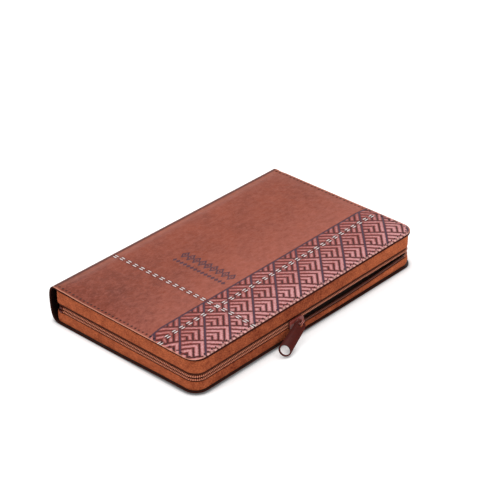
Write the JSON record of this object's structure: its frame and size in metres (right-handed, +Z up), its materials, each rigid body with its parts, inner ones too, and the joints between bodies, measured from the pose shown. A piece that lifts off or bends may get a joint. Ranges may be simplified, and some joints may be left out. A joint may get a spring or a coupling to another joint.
{
  "type": "zippered bible",
  "caption": "Thick rectangular book in a soft brown leather-look case that closes round three sides with a fabric gusset, a coil zipper and a hanging pull.",
  "frame": {"origin": "on the outer face of the back cover, under the middle of the closed case, where it rests on a table", "axes": "+X from the spine to the fore edge, +Y from the tail to the head, +Z up through the front cover"},
  "size_m": [0.1444, 0.216, 0.027],
  "materials": {
    "cover_leather": "mottled brown imitation leather, grained, low sheen",
    "lining_fabric": "brown woven lining",
    "case_board": "grey case board",
    "gusset_fabric": "rust brown twill",
    "zip_tape": "brown woven zipper tape",
    "zip_coil": "brown nylon zipper coil",
    "zip_metal": "maroon brown enamelled zinc",
    "paper": "thin cream Bible paper",
    "endpaper": "plain cream endpaper"
  },
  "bodies": {
    "back": {"back_cover_leather": "cover_leather", "back_cover_board": "case_board", "back_cover_lining": "lining_fabric", "back_pastedown": "endpaper", "back_flyleaf": "endpaper", "rear_leaves": "paper", "lower_gusset": "gusset_fabric", "lower_zip_tape": "zip_tape", "lower_zip_teeth": "zip_coil", "lower_zip_stops": "zip_metal"},
    "spine": {"spine_leather": "cover_leather", "spine_board": "case_board", "back_fold_leather": "cover_leather", "front_fold_leather": "cover_leather"},
    "front": {"front_cover_leather": "cover_leather", "front_cover_board": "case_board", "front_cover_lining": "lining_fabric", "front_pastedown": "endpaper", "upper_gusset": "gusset_fabric", "upper_zip_tape": "zip_tape", "upper_zip_teeth": "zip_coil", "upper_zip_stops": "zip_metal"},
    "leaves_1": {"front_leaves_1": "paper"},
    "leaves_2": {"front_leaves_2": "paper"},
    "leaves_3": {"front_leaves_3": "paper"},
    "leaves_4": {"front_leaves_4": "paper"},
    "flyleaf": {"front_flyleaf": "endpaper"},
    "slider": {"slider_body": "zip_metal", "slider_bridge": "zip_metal"},
    "pull": {"zip_pull": "zip_metal"}
  },
  "joints": [
    {"name": "spine_fold", "type": "hinge", "parent": "back", "child": "spine", "pos_m": [-0.061, 0, 0.005], "axis": [0, -1, 0], "range_deg": [0, 90], "deforming": ["back_fold_leather"]},
    {"name": "cover_open", "type": "hinge", "parent": "spine", "child": "front", "pos_m": [-0.061, 0, 0.022], "axis": [0, -1, 0], "range_deg": [0, 90], "deforming": ["front_fold_leather"]},
    {"name": "leaves_1_turn", "type": "hinge", "parent": "back", "child": "leaves_1", "pos_m": [-0.058, 0, 0.0135], "axis": [0, -1, 0], "range_deg": [0, 172.8]},
    {"name": "leaves_2_turn", "type": "hinge", "parent": "back", "child": "leaves_2", "pos_m": [-0.058, 0, 0.0135], "axis": [0, -1, 0], "range_deg": [0, 174.6]},
    {"name": "leaves_3_turn", "type": "hinge", "parent": "back", "child": "leaves_3", "pos_m": [-0.058, 0, 0.0135], "axis": [0, -1, 0], "range_deg": [0, 176.4]},
    {"name": "leaves_4_turn", "type": "hinge", "parent": "back", "child": "leaves_4", "pos_m": [-0.058, 0, 0.0135], "axis": [0, -1, 0], "range_deg": [0, 178.2]},
    {"name": "flyleaf_turn", "type": "hinge", "parent": "back", "child": "flyleaf", "pos_m": [-0.058, 0, 0.0135], "axis": [0, -1, 0], "range_deg": [0, 179.1]},
    {"name": "zip_slide", "type": "slide", "parent": "back", "child": "slider", "axis": [0, 1, 0], "range_m": [-0.074, 0.094], "deforming": ["lower_zip_teeth", "upper_zip_teeth", "lower_zip_tape", "upper_zip_tape"]},
    {"name": "pull_swing", "type": "hinge", "parent": "slider", "child": "pull", "pos_m": [0.069, -0.0135, 0.0113], "axis": [-0.7719, -0.3625, 0.5223], "range_deg": [0, 110]}
  ],
  "couplings": [
    {"joint": "spine_fold", "follows": "cover_open", "ratio": 1},
    {"joint": "leaves_1_turn", "follows": "cover_open", "ratio": 1.92},
    {"joint": "leaves_2_turn", "follows": "cover_open", "ratio": 1.94},
    {"joint": "leaves_3_turn", "follows": "cover_open", "ratio": 1.96},
    {"joint": "leaves_4_turn", "follows": "cover_open", "ratio": 1.98},
    {"joint": "flyleaf_turn", "follows": "cover_open", "ratio": 1.99}
  ]
}
